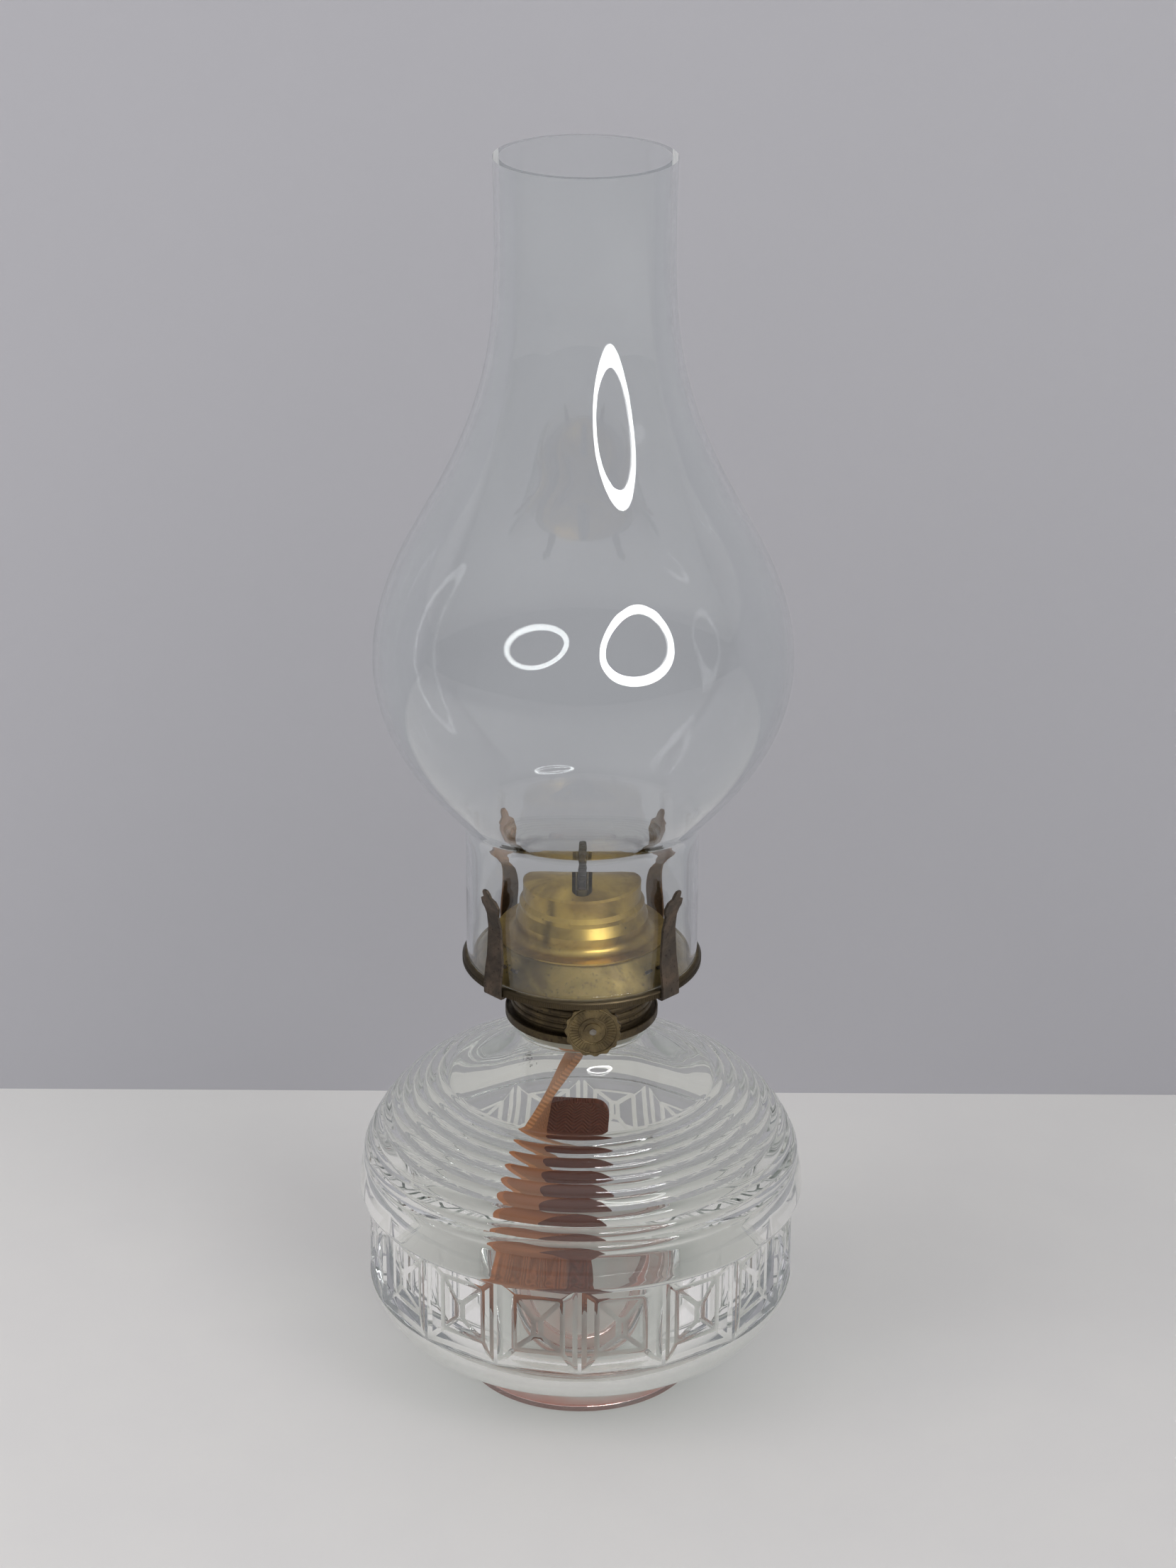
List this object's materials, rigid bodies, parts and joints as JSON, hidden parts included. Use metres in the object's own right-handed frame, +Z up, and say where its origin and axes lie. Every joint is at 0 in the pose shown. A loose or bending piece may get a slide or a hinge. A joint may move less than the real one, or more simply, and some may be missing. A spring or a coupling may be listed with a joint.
{
  "type": "oil lamp",
  "caption": "Table oil lamp: ridged clear-glass font with a panelled band, flat-wick brass burner with spring prongs and a lift-off bulged glass chimney.",
  "frame": {"origin": "centre of the foot ring, on the table", "axes": "+Z up the lamp's axis; the thumb wheel is at -Y, the front; the wick's flat faces look along X"},
  "size_m": [0.15, 0.15, 0.421],
  "materials": {
    "font_glass": "clear pressed glass, fire polished",
    "chimney_glass": "clear blown glass, smooth",
    "cone_brass": "worn golden brass with dark tarnish",
    "brass": "worn brass",
    "dark_brass": "dark oxidised brass",
    "prong_metal": "dark oxidised spring brass",
    "steel": "dull worn steel",
    "plaster": "matte plaster",
    "wick_cotton": "flat woven cotton, oil stained"
  },
  "bodies": {
    "font": {"font_glass": "font_glass", "collar": "dark_brass", "collar_plaster": "plaster"},
    "burner": {"burner_cup": "dark_brass", "base_disc": "brass", "air_basket": "brass", "gallery_plate": "brass", "prong_front_left": "prong_metal", "prong_front_right": "prong_metal", "prong_back_left": "prong_metal", "prong_back_right": "prong_metal", "cone": "cone_brass", "wick_tube": "brass", "shaft_bushing": "dark_brass", "shaft_bearing": "brass"},
    "wick_raiser": {"wick_shaft": "steel", "star_wheel_front": "steel", "star_wheel_rear": "steel", "shaft_clip": "steel", "thumb_wheel": "dark_brass"},
    "wick": {"wick": "wick_cotton", "wick_tail": "wick_cotton"},
    "chimney": {"chimney": "chimney_glass"}
  },
  "joints": [
    {"name": "burner_lift", "type": "slide", "parent": "font", "child": "burner", "axis": [0, 0, 1], "range_m": [0, 0.045]},
    {"name": "wick_turn", "type": "hinge", "parent": "burner", "child": "wick_raiser", "pos_m": [0.0038, -0.01, 0.14099], "axis": [0, 1, 0], "range_deg": [-280, 140]},
    {"name": "wick_slide", "type": "slide", "parent": "burner", "child": "wick", "axis": [0, 0, 1], "range_m": [-0.0125, 0.0065], "deforming": ["wick_tail"]},
    {"name": "chimney_lift", "type": "slide", "parent": "burner", "child": "chimney", "axis": [0, 0, 1], "range_m": [0, 0.06]}
  ],
  "couplings": [
    {"joint": "wick_slide", "follows": "wick_turn", "m_per_rad": 0.0024}
  ]
}
